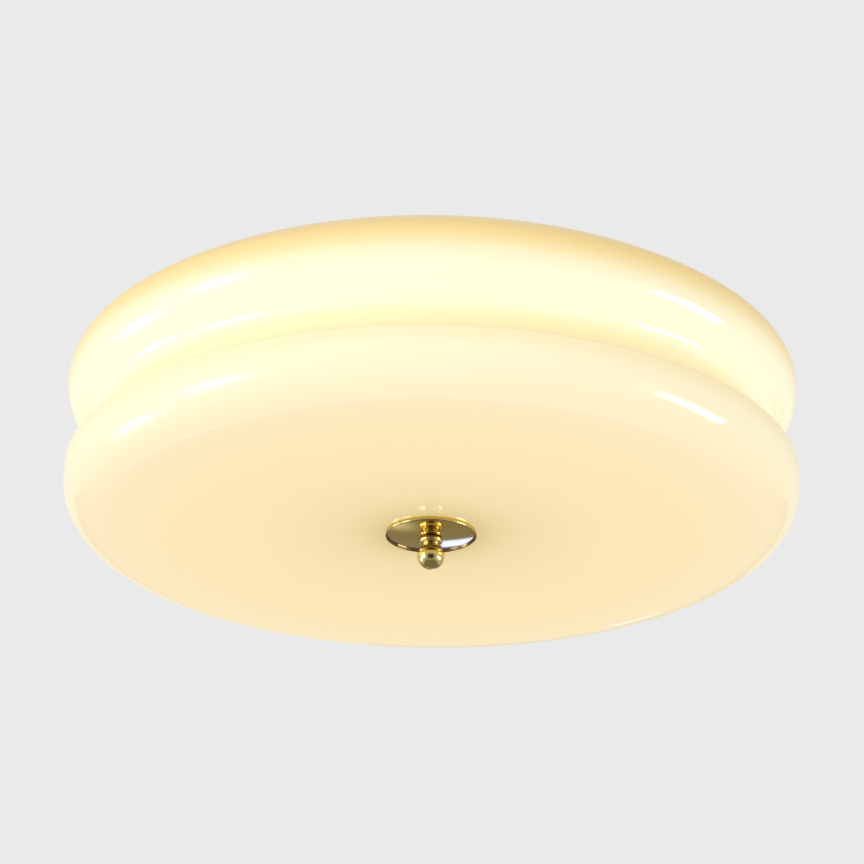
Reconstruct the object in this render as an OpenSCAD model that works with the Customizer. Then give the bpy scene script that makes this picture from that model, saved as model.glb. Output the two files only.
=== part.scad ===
// Flush ceiling light: a two-tier blown glass shade held up by a ball finial on a threaded rod.
// The origin is the middle of the strap's ceiling holes, on the ceiling plane, and the lamp hangs below it.

/* [Glass shade] */
// Widest diameter of both tiers
shade_d = 400; // [380:1:430]
// Wall of the glass
glass_t = 3.5; // [3:0.25:4.5]
// Ceiling to the underside of the glass
shade_drop = 114.5; // [113:0.5:120]
// Height of the lower tier
lower_h = 34.5; // [32:0.5:38]
// Radius of the lower tier's top shoulder
lower_top_r = 6; // [5:0.5:10]
// Radius of the lower tier's bottom corner
lower_base_r = 22; // [16:0.5:26]
// Depth of the waist between the tiers
waist_in = 17; // [14:0.5:22]
// Radius where the waist runs into each tier
waist_r = 11; // [9:0.5:12]
// Ceiling to the widest line of the upper tier
upper_mid = 35; // [34.4:0.2:36]
// Radius of the upper tier's bottom corner
upper_base_r = 22; // [18:0.5:24]
// Height of the crown above the upper tier's widest line
crown_h = 32.5; // [31:0.25:33.5]
// How far in from the side the crown is highest
crown_reach = 58; // [54:1:62]
// Radius of the crown's shoulder
crown_top_r = 18; // [15:0.5:20]
// Diameter of the opening at the top
opening_d = 300; // [290:1:306]
// Diameter of the rod hole in the underside
glass_hole_d = 13; // [11:0.5:15]

/* [Finial] */
// Diameter of the dish
dish_d = 49.6; // [42:0.2:56]
// Height of the dish
dish_h = 2.6; // [2.2:0.1:3.4]
// Metal of the dish at its middle
dish_t = 0.9; // [0.7:0.1:1.3]
// How far the dish's edge leans in towards the bottom
dish_lean = 1; // [0.5:0.1:2]
// Width of the dish's lip
dish_lip = 0.9; // [0.6:0.1:1.4]
// Diameter of the collar bead
collar_d = 12.8; // [11:0.2:15]
// Height of the collar bead
collar_h = 4.4; // [3.6:0.1:5]
// Diameter of the ball
ball_d = 15; // [13.5:0.1:18]
// Diameter of the neck between collar and ball
neck_d = 9.4; // [8.4:0.1:10.4]
// Length of the neck, down to the ball's middle
neck_h = 7; // [6.6:0.1:7.6]

/* [Gaskets] */
// Thickness of the washer above the glass
gasket_t = 2; // [1.5:0.25:3]
// Diameter of the washer above the glass
gasket_d = 28; // [24:0.5:32]
// Thickness of the washer on the dish
pad_t = 0.7; // [0.5:0.05:1]
// Diameter of the washer on the dish
pad_d = 36; // [30:0.5:39]

/* [Base pan] */
// Depth of the pan below the ceiling
pan_h = 22; // [21:0.5:26]
// Sheet of the pan
pan_t = 1.2; // [0.8:0.1:1.6]
// Gap between the pan's wall and the glass opening
pan_gap = 7; // [6:0.25:9]
// Width of the flange on the ceiling
pan_flange = 4; // [2:0.25:5]
// Radius of the pan's bottom corner
pan_r = 4; // [3:0.5:5]
// Radius of the stiffening rib's middle line
rib_at = 108; // [95:1:120]
// Width of the stiffening rib
rib_w = 12; // [9:0.5:16]
// Height of the stiffening rib
rib_h = 2.5; // [1.5:0.25:4]
// Number of buffers round the pan
buffer_n = 4; // [3:1:6]
// Height of a buffer
buffer_h = 13; // [11:0.5:14]
// Ceiling to the top of a buffer
buffer_top = 2.5; // [2:0.25:3]
// Width of a buffer
buffer_w = 14; // [10:0.5:20]

/* [Ceiling strap] */
// Length of the strap
strap_l = 164; // [156:1:176]
// Width of the strap
strap_w = 25; // [22:0.5:30]
// Sheet of the strap
strap_t = 2; // [1.5:0.1:2.5]
// Ceiling to the top of the strap's middle
strap_drop = 8; // [7:0.25:8.5]
// Length of each foot on the ceiling
foot_l = 26; // [22:0.5:30]
// Length of each slope
slope_l = 6; // [4:0.5:8]
// Distance between the ceiling screw holes
ceiling_hole_span = 138; // [134:1:142]
// Diameter of the ceiling screw holes
ceiling_hole_d = 5; // [4:0.1:6]
// Distance between the pan studs
stud_span = 84; // [80:1:90]

/* [Rod and fasteners] */
// Diameter of the threaded rod
rod_d = 6; // [5.6:0.1:6.2]
// Ceiling to the top of the rod
rod_top = 2; // [1:0.25:2.5]
// Depth of the rod in the ball, from the neck's top
rod_grip = 10.8; // [9:0.1:11]
// Thickness of a rod nut
rod_nut_h = 5; // [4.5:0.1:5.5]
// Width across flats of a rod nut
rod_nut_af = 10; // [9.5:0.1:11]
// Thickness of a rod washer
washer_t = 1.5; // [1:0.1:1.8]
// Diameter of a rod washer
washer_d = 12; // [11:0.5:14]
// Diameter of the pan and bracket screws
screw_d = 4; // [3.5:0.1:4.2]
// Diameter of a screw head
head_d = 8; // [7:0.1:9]
// Height of a screw head
head_h = 2.5; // [2:0.1:2.8]
// Thickness of a screw nut
nut_h = 3.2; // [2.8:0.1:3.4]
// Width across flats of a screw nut
nut_af = 7; // [6.6:0.1:7.4]
// Height of a cap nut
cap_nut_h = 8; // [7.5:0.1:9]

/* [Holder bracket] */
// Sheet of the bracket
bracket_t = 1.5; // [1.2:0.1:2]
// Diameter of the bracket's hub
hub_d = 68; // [64:0.5:72]
// Rod axis to the inner face of each tab
tab_at = 20; // [19:0.25:22]
// Width of each tab
tab_w = 32; // [28:0.5:34]
// Tab below the lamp axis
tab_below = 17; // [14:0.5:19]
// Rod axis to the bracket screws
bracket_screw_at = 27; // [26:0.25:28]
// Rod axis to the lead bushings
bushing_at = 13; // [12.5:0.25:13.5]
// Diameter of the lead bushings' holes
bushing_d = 8; // [7.6:0.1:8.6]
// Wall of a lead bushing
bushing_t = 1.2; // [0.8:0.1:1.3]

/* [Lamps] */
// Ceiling to the lamp axes
lamp_z = 60; // [58:0.5:64]
// Length of a lampholder
holder_l = 40; // [38:0.5:42]
// Diameter of a lampholder
holder_d = 39; // [37:0.5:42]
// Diameter of a lampholder's back
holder_back_d = 28; // [26:0.5:30]
// Diameter of the socket bore
socket_d = 29.2; // [28.9:0.1:30]
// Wall of the brass thread shell
shell_t = 0.6; // [0.4:0.05:0.8]
// Diameter of the bulb's screw cap
cap_d = 26.2; // [25.6:0.1:26.4]
// Diameter of the bulb's dome
bulb_d = 60; // [50:1:62]
// Length of the bulb over all
bulb_l = 103; // [100:0.5:106]
// Diameter of a holder nipple
nipple_d = 10; // [9:0.1:10.6]
// Bore of a holder nipple
nipple_bore = 6.4; // [5.6:0.1:7]
// Thickness of a nipple nut
nipple_nut_h = 3; // [2.5:0.1:3.3]
// Diameter of the leads
lead_d = 3.2; // [2.4:0.1:3.4]

/* [Terminal block] */
// Length of the terminal block
block_l = 30; // [29:0.5:36]
// Width of the terminal block
block_w = 16; // [14:0.5:20]
// Height of the terminal block
block_h = 12; // [11:0.25:13]
// Rod axis to the near side of the terminal block
block_at = 40; // [38:0.5:44]

/* [Fits] */
// Clearance round a turning or sliding fit
run_gap = 0.05; // [0.02:0.01:0.09]
// Clearance between pieces that move past each other
clear_gap = 0.3; // [0.2:0.05:0.5]
// Clearance of a screw or stud in its hole
hole_gap = 0.3; // [0.2:0.05:0.5]

/* [Hidden] */

$fn = 96;
glass = [1.0, 0.93, 0.76];
brass = [0.78, 0.62, 0.27];
steel = [0.72, 0.73, 0.75];
white_paint = [0.95, 0.95, 0.93];
porcelain = [0.97, 0.96, 0.93];
rubber = [0.86, 0.86, 0.83];

// Points of an arc, from angle a0 to angle a1 in n steps
function arc(cx, cz, r, a0, a1, n = 10) =
    [for (i = [0 : n]) let (a = a0 + (a1 - a0) * i / n) [cx + r * cos(a), cz + r * sin(a)]];

function reversed(list) = [for (i = [len(list) - 1 : -1 : 0]) list[i]];

// The glass: heights are negative, measured down from the ceiling
shade_r = shade_d / 2;
glass_z = -shade_drop;
lower_top_z = glass_z + lower_h;
waist_x = shade_r - waist_in + waist_r;
upper_turn = turn(upper_base_r);
upper_waist_z = -upper_mid - (upper_base_r + waist_r) * sin(upper_turn);
lower_turn = turn(lower_top_r);
lower_waist_z = lower_top_z - lower_top_r + (lower_top_r + waist_r) * sin(lower_turn);
crown_run = crown_reach - crown_top_r;
crown_r = (pow(crown_run, 2) + pow(crown_h, 2) - pow(crown_top_r, 2)) / (2 * (crown_h - crown_top_r));
crown_x = shade_r - crown_reach;
crown_z = -upper_mid + crown_h - crown_r;
crown_a = atan2(crown_r - crown_h, crown_run);
lip_x = opening_d / 2 + glass_t / 2;
lip_a = acos((lip_x - crown_x) / (crown_r - glass_t / 2));
lip_z = crown_z + (crown_r - glass_t / 2) * sin(lip_a);

// How far a tier's edge of radius r turns before it runs into the waist
function turn(r) = acos(max(0, 1 - waist_in / (r + waist_r)));

// Section of the two tiers from the underside to the lip, set in by an even amount
function tiers(inset) = concat(
    arc(shade_r - lower_base_r, glass_z + lower_base_r, lower_base_r - inset, -90, 0, 14),
    arc(shade_r - lower_top_r, lower_top_z - lower_top_r, lower_top_r - inset, 0, lower_turn),
    arc(waist_x, lower_waist_z, waist_r + inset, 180 + lower_turn, 180),
    arc(waist_x, upper_waist_z, waist_r + inset, 180, 180 - upper_turn),
    arc(shade_r - upper_base_r, -upper_mid, upper_base_r - inset, -upper_turn, 0, 12),
    arc(shade_r - crown_top_r, -upper_mid, crown_top_r - inset, 0, crown_a, 12),
    arc(crown_x, crown_z, crown_r - inset, crown_a, lip_a, 12));

module glass_shade() {
    hole_r = glass_hole_d / 2;
    color(glass)
    rotate_extrude($fn = 180)
    polygon(concat(
        [[hole_r, glass_z]],
        tiers(0),
        arc(lip_x, lip_z, glass_t / 2, lip_a, lip_a + 180, 8),
        reversed(tiers(glass_t)),
        [[hole_r, glass_z + glass_t]]));
}

// Rubber washer on the glass, with a sleeve that lines the hole
module gasket_upper() {
    inner_z = glass_z + glass_t;
    color(rubber)
    difference() {
        union() {
            translate([0, 0, inner_z])
            cylinder(d = gasket_d, h = gasket_t);
            translate([0, 0, glass_z])
            cylinder(d = glass_hole_d - 2 * hole_gap, h = glass_t + gasket_t);
        }
        rod_hole(2 * clear_gap);
    }
}

module gasket_lower() {
    color(rubber)
    difference() {
        translate([0, 0, glass_z - pad_t])
        cylinder(d = pad_d, h = pad_t);
        rod_hole(2 * clear_gap);
    }
}

// A hole for the rod through everything, wider than the rod by gap
module rod_hole(gap) {
    translate([0, 0, -shade_drop - dish_h - collar_h - ball_d])
    cylinder(d = rod_d + gap, h = shade_drop + dish_h + collar_h + ball_d + 1);
}

// The dish is hollow towards the floor: a leaning edge, a narrow lip and a shallow bowl inside
dish_r = dish_d / 2;
dish_roof_z = glass_z - pad_t - dish_t;
dish_foot_z = glass_z - dish_h;
bowl_r = dish_r - dish_lean - dish_lip;
bowl_edge_z = (dish_roof_z + dish_foot_z) / 2;
bowl_rise = dish_roof_z - bowl_edge_z;
bowl_ball = (pow(bowl_r, 2) + pow(bowl_rise, 2)) / (2 * bowl_rise);
bowl_a = asin(bowl_r / bowl_ball);

module finial_dish() {
    edge_z = glass_z - clear_gap / 2;
    color(brass)
    difference() {
        rotate_extrude()
        polygon(concat(
            [[0, glass_z - pad_t], [pad_d / 2 + clear_gap, glass_z - pad_t], [pad_d / 2 + clear_gap, edge_z],
                [dish_r, edge_z]],
            arc(dish_r - dish_lean - dish_lip / 2, dish_foot_z + dish_lip / 2, dish_lip / 2, 0, -180, 8),
            [for (i = [0 : 8]) let (a = bowl_a * (1 - i / 8))
                [bowl_ball * sin(a), dish_roof_z - bowl_ball * (1 - cos(a))]]));
        rod_hole(2 * clear_gap);
    }
}

collar_z = dish_roof_z - clear_gap;

module finial_collar() {
    bead_r = collar_h / 2;
    color(brass)
    difference() {
        rotate_extrude()
        polygon(concat(
            [[0, collar_z - collar_h]],
            arc(collar_d / 2 - bead_r, collar_z - bead_r, bead_r, -90, 90, 14),
            [[0, collar_z]]));
        rod_hole(2 * run_gap);
    }
}

neck_z = collar_z - collar_h;
ball_z = neck_z - neck_h;
rod_end_z = neck_z - rod_grip;

module finial_ball() {
    color(brass)
    difference() {
        union() {
            translate([0, 0, ball_z])
            sphere(d = ball_d);
            translate([0, 0, ball_z])
            cylinder(d = neck_d, h = neck_h);
        }
        translate([0, 0, rod_end_z - 1])
        cylinder(d = rod_d + 2 * run_gap, h = rod_grip + 2);
    }
}

// The ceiling strap, bent down between its two feet
module mounting_strap() {
    foot_x = strap_l / 2 - foot_l;
    mid_x = foot_x - slope_l;
    color(steel)
    difference() {
        intersection() {
            translate([0, strap_w / 2, 0])
            rotate([90, 0, 0])
            linear_extrude(strap_w)
            polygon([[-strap_l / 2, 0], [-foot_x, 0], [-mid_x, -strap_drop], [mid_x, -strap_drop], [foot_x, 0],
                [strap_l / 2, 0], [strap_l / 2, -strap_t], [foot_x - 1, -strap_t],
                [mid_x - 1, -strap_drop - strap_t], [1 - mid_x, -strap_drop - strap_t], [1 - foot_x, -strap_t],
                [-strap_l / 2, -strap_t]]);
            translate([0, 0, -strap_drop - strap_t - 1])
            cylinder(d = strap_l, h = strap_drop + strap_t + 2);
        }
        for (side = [-1, 1]) {
            translate([side * ceiling_hole_span / 2, 0, -strap_t - 1])
            cylinder(d = ceiling_hole_d, h = strap_t + 2);
            translate([side * stud_span / 2, 0, -strap_drop - strap_t - 1])
            cylinder(d = screw_d + 2 * hole_gap, h = strap_t + 2);
        }
        translate([earth_x, 0, -strap_drop - strap_t - 1])
        cylinder(d = screw_d + 2 * hole_gap, h = strap_t + 2);
        rod_hole(2 * hole_gap);
    }
}

// Screw with a domed head on top, its head seated at the origin
module screw(length) {
    cylinder(d = head_d * 0.8, h = head_h);
    cylinder(d = head_d, h = head_h * 0.6);
    translate([0, 0, -length])
    cylinder(d = screw_d, h = length + 0.1);
}

// Hexagonal nut standing on the origin
module nut(across, height, bore) {
    difference() {
        cylinder(d = across / cos(30), h = height, $fn = 6);
        translate([0, 0, -1])
        cylinder(d = bore, h = height + 2);
    }
}

module at_studs() {
    for (side = [-1, 1])
        translate([side * stud_span / 2, 0, 0])
        children();
}

strap_z = -strap_drop - strap_t;
cap_nut_bore = cap_nut_h - 2;

module strap_studs() {
    color(steel)
    at_studs()
    translate([0, 0, -strap_drop])
    screw(pan_h - strap_drop + cap_nut_bore - 0.5);
}

module stud_nuts() {
    color(steel)
    at_studs()
    translate([0, 0, strap_z - nut_h])
    nut(nut_af, nut_h, screw_d + 2 * run_gap);
}

module pan_nuts() {
    dome_d = nut_af - 0.4;
    color(brass)
    at_studs()
    translate([0, 0, -pan_h])
    difference() {
        union() {
            translate([0, 0, -nut_h])
            cylinder(d = nut_af / cos(30), h = nut_h, $fn = 6);
            translate([0, 0, dome_d / 2 - cap_nut_h])
            cylinder(d = dome_d, h = cap_nut_h - dome_d / 2 - nut_h + 0.1);
            translate([0, 0, dome_d / 2 - cap_nut_h])
            sphere(d = dome_d);
        }
        translate([0, 0, -cap_nut_bore])
        cylinder(d = screw_d + 2 * run_gap, h = cap_nut_bore + 1);
    }
}

pan_wall_r = opening_d / 2 - pan_gap;
pan_floor_z = pan_t - pan_h;

// Section of the pan's outside, and of its inside when inset is the sheet
function pan_side(inset) = concat(
    [[0, inset - pan_h], [rib_at - rib_w / 2 + inset / 2, inset - pan_h],
        [rib_at - rib_w / 4 + inset / 4, inset - pan_h + rib_h],
        [rib_at + rib_w / 4 - inset / 4, inset - pan_h + rib_h], [rib_at + rib_w / 2 - inset / 2, inset - pan_h]],
    arc(pan_wall_r - pan_r, pan_r - pan_h, pan_r - inset, -90, 0));

module base_pan() {
    color(white_paint)
    difference() {
        rotate_extrude($fn = 144)
        polygon(concat(
            pan_side(0),
            [[pan_wall_r, -pan_t], [pan_wall_r + pan_flange, -pan_t], [pan_wall_r + pan_flange, 0],
                [pan_wall_r - pan_t, 0]],
            reversed(pan_side(pan_t))));
        rod_hole(2 * hole_gap);
        at_studs()
        plate_hole(screw_d + 2 * hole_gap);
        at_bushings(bushing_at)
        plate_hole(bushing_d);
        at_bushings(bracket_screw_at)
        plate_hole(screw_d + 2 * hole_gap);
        at_block_screws()
        plate_hole(block_screw_d + 2 * hole_gap);
    }
}

// A hole through the pan's floor and the bracket's hub
module plate_hole(d) {
    translate([0, 0, -pan_h - bracket_t - 1])
    cylinder(d = d, h = bracket_t + pan_t + 2);
}

module rim_buffers() {
    color(rubber)
    intersection() {
        difference() {
            translate([0, 0, -buffer_top - buffer_h])
            cylinder(r = opening_d / 2 - clear_gap, h = buffer_h, $fn = 144);
            translate([0, 0, -buffer_top - buffer_h - 1])
            cylinder(r = pan_wall_r, h = buffer_h + 2, $fn = 144);
        }
        for (i = [0 : buffer_n - 1])
            rotate([0, 0, 45 + 360 * i / buffer_n])
            translate([pan_wall_r - pan_gap, -buffer_w / 2, -buffer_top - buffer_h])
            cube([2 * pan_gap, buffer_w, buffer_h]);
    }
}

// The rod and what is screwed on it
module centre_rod() {
    color(steel)
    translate([0, 0, rod_end_z])
    cylinder(d = rod_d, h = -rod_top - rod_end_z);
}

module rod_nut() {
    nut(rod_nut_af, rod_nut_h, rod_d + 2 * run_gap);
}

module rod_washer() {
    difference() {
        cylinder(d = washer_d, h = washer_t);
        translate([0, 0, -1])
        cylinder(d = rod_d + 2 * run_gap, h = washer_t + 2);
    }
}

hub_z = -pan_h - bracket_t;

module rod_nuts() {
    color(steel) {
        translate([0, 0, -strap_drop])
        rod_nut();
        translate([0, 0, strap_z - rod_nut_h])
        rod_nut();
        translate([0, 0, hub_z - washer_t - rod_nut_h])
        rod_nut();
    }
}

module rod_washers() {
    color(steel)
    translate([0, 0, hub_z - washer_t])
    rod_washer();
}

stop_z = glass_z + glass_t + gasket_t + clear_gap;

module stop_washer() {
    color(steel)
    translate([0, 0, stop_z])
    rod_washer();
}

module stop_nut() {
    color(steel)
    translate([0, 0, stop_z + washer_t])
    rod_nut();
}

// The lamps point outwards at lamp_a, and the screws and leads stand halfway between them
lamp_a = [90, 210, 330];
between = 60;

module at_bushings(r) {
    for (a = lamp_a)
        rotate([0, 0, a - between])
        translate([r, 0, 0])
        children();
}

// Moves a piece drawn along +Z to the outer face of one tab, along that lamp's axis
module at_lamp(a) {
    rotate([0, 0, a])
    translate([tab_at + bracket_t, 0, -lamp_z])
    rotate([0, 90, 0])
    children();
}

module holder_bracket() {
    tab_h = lamp_z + tab_below - pan_h;
    color(steel)
    difference() {
        union() {
            translate([0, 0, hub_z])
            cylinder(d = hub_d, h = bracket_t);
            for (a = lamp_a)
                rotate([0, 0, a])
                translate([tab_at, 0, -pan_h])
                rotate([0, 90, 0])
                linear_extrude(bracket_t)
                union() {
                    translate([0, -tab_w / 2])
                    square([tab_h - tab_w / 4, tab_w]);
                    translate([0, -tab_w / 4])
                    square([tab_h, tab_w / 2]);
                    for (side = [-1, 1])
                        translate([tab_h - tab_w / 4, side * tab_w / 4])
                        circle(d = tab_w / 2);
                }
        }
        rod_hole(2 * hole_gap);
        at_bushings(bushing_at)
        plate_hole(bushing_d);
        at_bushings(bracket_screw_at)
        plate_hole(screw_d + 2 * hole_gap);
        for (a = lamp_a)
            at_lamp(a)
            translate([0, 0, -bracket_t - 1])
            cylinder(d = nipple_d + 2 * hole_gap, h = bracket_t + 2);
    }
}

module bracket_screws() {
    color(steel)
    at_bushings(bracket_screw_at)
    translate([0, 0, hub_z])
    mirror([0, 0, 1])
    screw(bracket_t + pan_t + nut_h + 1);
}

module bracket_nuts() {
    color(steel)
    at_bushings(bracket_screw_at)
    translate([0, 0, pan_floor_z])
    nut(nut_af, nut_h, screw_d + 2 * run_gap);
}

module lead_bushings() {
    flange_t = 1.2;
    color(porcelain)
    at_bushings(bushing_at)
    difference() {
        union() {
            translate([0, 0, hub_z - flange_t])
            cylinder(d = bushing_d + 2, h = flange_t);
            translate([0, 0, hub_z - flange_t])
            cylinder(d = bushing_d - 2 * run_gap, h = bracket_t + pan_t + 2 * flange_t);
            translate([0, 0, pan_floor_z])
            cylinder(d = bushing_d + 2, h = flange_t);
        }
        translate([0, 0, hub_z - flange_t - 1])
        cylinder(d = bushing_d - 2 * bushing_t, h = bracket_t + pan_t + 2 * flange_t + 2);
    }
}

back_wall = 3;
chamber_end = 10;
socket_z = 13;
nipple_back = nipple_nut_h + 2;

module holder_nipples() {
    color(brass)
    for (a = lamp_a)
        at_lamp(a)
        translate([0, 0, -bracket_t - nipple_back])
        difference() {
            cylinder(d = nipple_d, h = bracket_t + nipple_back + back_wall + nipple_nut_h);
            translate([0, 0, -1])
            cylinder(d = nipple_bore, h = bracket_t + nipple_back + back_wall + nipple_nut_h + 2);
        }
}

module nipple_nuts() {
    color(brass)
    for (a = lamp_a)
        at_lamp(a)
        for (z = [-bracket_t - nipple_nut_h, back_wall])
            translate([0, 0, z])
            nut(nipple_d + 4, nipple_nut_h, nipple_d + 2 * run_gap);
}

module lampholder(n) {
    holder_r = holder_d / 2;
    back_r = holder_back_d / 2;
    chamber_r = nipple_d / 2 + 5;
    flare = holder_r - back_r;
    color(porcelain)
    at_lamp(lamp_a[n - 1])
    rotate_extrude()
    polygon(concat(
        [[nipple_d / 2 + hole_gap, 0], [back_r - 1, 0], [back_r, 1]],
        arc(back_r + flare, 7, flare, 180, 90, 6),
        [[holder_r, holder_l - 5], [holder_r + 0.8, holder_l - 4]],
        arc(holder_r, holder_l - 0.8, 0.8, 0, 90, 4),
        [[socket_d / 2, holder_l], [socket_d / 2, socket_z], [contact_r + hole_gap, socket_z],
            [contact_r + hole_gap, chamber_end], [chamber_r, chamber_end], [chamber_r, back_wall],
            [nipple_d / 2 + hole_gap, back_wall]]));
}

// Brass thread shell, standing on the floor of the socket
module holder_shell(n) {
    outer_r = socket_d / 2 - clear_gap;
    color(brass)
    at_lamp(lamp_a[n - 1])
    translate([0, 0, socket_z])
    difference() {
        cylinder(r = outer_r, h = holder_l - socket_z - 3);
        translate([0, 0, shell_t])
        cylinder(r = outer_r - shell_t, h = holder_l);
        translate([0, 0, -1])
        cylinder(r = outer_r / 2, h = shell_t + 2);
    }
}

contact_r = 1.8;
contact_z = socket_z + 2.6;

// Centre contact: a stem through the socket's floor, with a rivet head behind and a button in front
module holder_contact(n) {
    color(brass)
    at_lamp(lamp_a[n - 1]) {
        translate([0, 0, chamber_end - 1.2])
        cylinder(r = contact_r, h = contact_z - chamber_end + 1.2);
        translate([0, 0, chamber_end - 1.2])
        cylinder(r = contact_r + 1.4, h = 1.2);
        translate([0, 0, contact_z - 1.2])
        cylinder(r = contact_r + 2, h = 1.2);
    }
}

// The bulb: its tip stands just off the centre contact
bulb_z = contact_z + clear_gap;
bulb_r = bulb_d / 2;
cap_l = 26;
dome_z = bulb_z + bulb_l - bulb_r;
body_end_z = dome_z - bulb_r * 0.45;
body_end_r = bulb_r * sqrt(1 - pow(0.45, 2));

module bulb_cap(n) {
    cap_r = cap_d / 2;
    color(steel)
    at_lamp(lamp_a[n - 1])
    translate([0, 0, bulb_z])
    rotate_extrude()
    polygon([[0, 0], [3.6, 0], [4.4, 0.8], [4.4, 1.6], [cap_r - 2.6, 4.4], [cap_r, 6], [cap_r, cap_l], [0, cap_l]]);
}

// Plastic housing, flaring from the cap to the dome
module bulb_body(n) {
    foot_r = cap_d / 2 + 0.9;
    foot_z = bulb_z + cap_l;
    color(white_paint)
    at_lamp(lamp_a[n - 1])
    rotate_extrude()
    polygon(concat(
        [[0, foot_z], [foot_r, foot_z], [foot_r, foot_z + 3]],
        [for (i = [1 : 10]) let (s = i / 10)
            [foot_r + (body_end_r - foot_r) * (0.62 * s + 0.38 * s * s), foot_z + 3 + (body_end_z - foot_z - 3) * s]],
        [[0, body_end_z]]));
}

module bulb_globe(n) {
    dome_t = 1.4;
    color([1, 0.97, 0.9])
    at_lamp(lamp_a[n - 1])
    intersection() {
        translate([0, 0, dome_z])
        difference() {
            sphere(r = bulb_r);
            sphere(r = bulb_r - dome_t);
        }
        translate([0, 0, body_end_z])
        cylinder(r = bulb_r + 1, h = 2 * bulb_r);
    }
}

// The terminal block: three ways side by side, each with two screw wells, and two fixing screws between them
way_pitch = 10;
way_w = 6.6;
way_r = 2;
well_r = 2.3;
block_screw_d = 2.6;
block_head_d = 4.6;
block_foot_h = block_h * 0.35;
way_z = pan_floor_z + block_h * 0.45;

module at_block_screws() {
    for (side = [-1, 1])
        translate([side * way_pitch / 2, block_at + block_w / 2, 0])
        children();
}

module at_wells() {
    for (i = [-1 : 1], j = [0.27, 0.73])
        translate([i * way_pitch, block_at + j * block_w, 0])
        children();
}

module terminal_block() {
    color(porcelain)
    difference() {
        union() {
            translate([-block_l / 2, block_at, pan_floor_z])
            cube([block_l, block_w, block_foot_h]);
            for (i = [-1 : 1])
                translate([i * way_pitch - way_w / 2, block_at, pan_floor_z])
                cube([way_w, block_w, block_h]);
        }
        for (i = [-1 : 1])
            translate([i * way_pitch, block_at - 1, way_z])
            rotate([-90, 0, 0])
            cylinder(r = way_r, h = block_w + 2);
        at_wells()
        translate([0, 0, way_z])
        cylinder(r = well_r, h = block_h);
        at_block_screws()
        translate([0, 0, pan_floor_z - 1])
        cylinder(d = block_screw_d + 2 * hole_gap, h = block_h);
        at_block_screws()
        translate([0, 0, pan_floor_z + block_foot_h])
        cylinder(d = block_head_d + 2 * hole_gap, h = block_h);
    }
}

// Slotted clamp screws, flush below the top of their wells
module terminal_screws() {
    screw_z = way_z + way_r - 0.2;
    screw_h = pan_floor_z + block_h - 1 - screw_z;
    color(brass)
    at_wells()
    translate([0, 0, screw_z])
    difference() {
        cylinder(r = well_r - clear_gap, h = screw_h);
        translate([-well_r, -0.3, screw_h - 0.8])
        cube([2 * well_r, 0.6, 2]);
    }
}

module block_screws() {
    tip = 2;
    color(steel)
    at_block_screws() {
        translate([0, 0, -pan_h - tip])
        cylinder(d = block_screw_d, h = tip + pan_t + block_foot_h + 0.5);
        translate([0, 0, pan_floor_z + block_foot_h])
        cylinder(d = block_head_d, h = 1.6);
    }
}

// Earth screw with its cupped washer, on the strap
earth_x = -24;
earth_washer_t = 1;

module earth_screw() {
    color(brass)
    translate([earth_x, 0, -strap_drop + earth_washer_t])
    screw(strap_t + earth_washer_t + 3);
}

module earth_washer() {
    color(brass)
    translate([earth_x, 0, -strap_drop])
    difference() {
        cylinder(d = head_d + 2, h = earth_washer_t);
        translate([0, 0, -1])
        cylinder(d = screw_d + 2 * run_gap, h = earth_washer_t + 2);
    }
}

// Leads: each runs from its terminal, down through a bushing and into the nipple of its lampholder.
// The lower stretch is the same for all three and turns with the lamp.
nipple_in = tab_at - nipple_back;
lead_low = [[bushing_at, 0, hub_z - 5], [10.5, 2.5, -40], [6.5, 6, -lamp_z + 9], [5, 8.6, -lamp_z + 1.6],
    [nipple_in * 0.5, nipple_in * 0.866, -lamp_z], [tab_at * 0.5, tab_at * 0.866, -lamp_z],
    [(tab_at + 8) * 0.5, (tab_at + 8) * 0.866, -lamp_z]];
bushing_top = [bushing_at, 0, pan_floor_z + 1.5];
lead_high = [
    [[7.5, 20, pan_floor_z + 3.6], [2, 32, way_z], [0, block_at - 3, way_z], [0, block_at + 3, way_z]],
    [[-9.5, 20, pan_floor_z + 3.6], [-10, 32, way_z], [-10, block_at - 3, way_z], [-10, block_at + 3, way_z]],
    [[7, -14, pan_floor_z + 3.6], [15, -6, pan_floor_z + 3.6], [16.5, 8, pan_floor_z + 3.6],
        [14, 24, pan_floor_z + 3.6], [10, 34, way_z], [10, block_at - 3, way_z], [10, block_at + 3, way_z]]];

function turned(p, a) = [p[0] * cos(a) - p[1] * sin(a), p[0] * sin(a) + p[1] * cos(a), p[2]];

// A smooth curve through the points, with a few steps between each two
function curve(p, steps) = concat(
    [for (i = [0 : len(p) - 2], s = [0 : steps - 1])
        let (t = s / steps, a = p[max(i - 1, 0)], b = p[i], c = p[i + 1], d = p[min(i + 2, len(p) - 1)])
        b + 0.5 * t * (c - a) + 0.5 * t * t * (2 * a - 5 * b + 4 * c - d) + 0.5 * t * t * t * (3 * b - a - 3 * c + d)],
    [p[len(p) - 1]]);

function unit(v) = v / norm(v);

function across(t, v) = unit(v - t * (v * t));

// Sideways direction at each point, carried along the curve without twisting
function sides(t, v, i = 0, out = []) =
    i == len(t) ? out : let (n = across(t[i], v)) sides(t, n, i + 1, concat(out, [n]));

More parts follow.
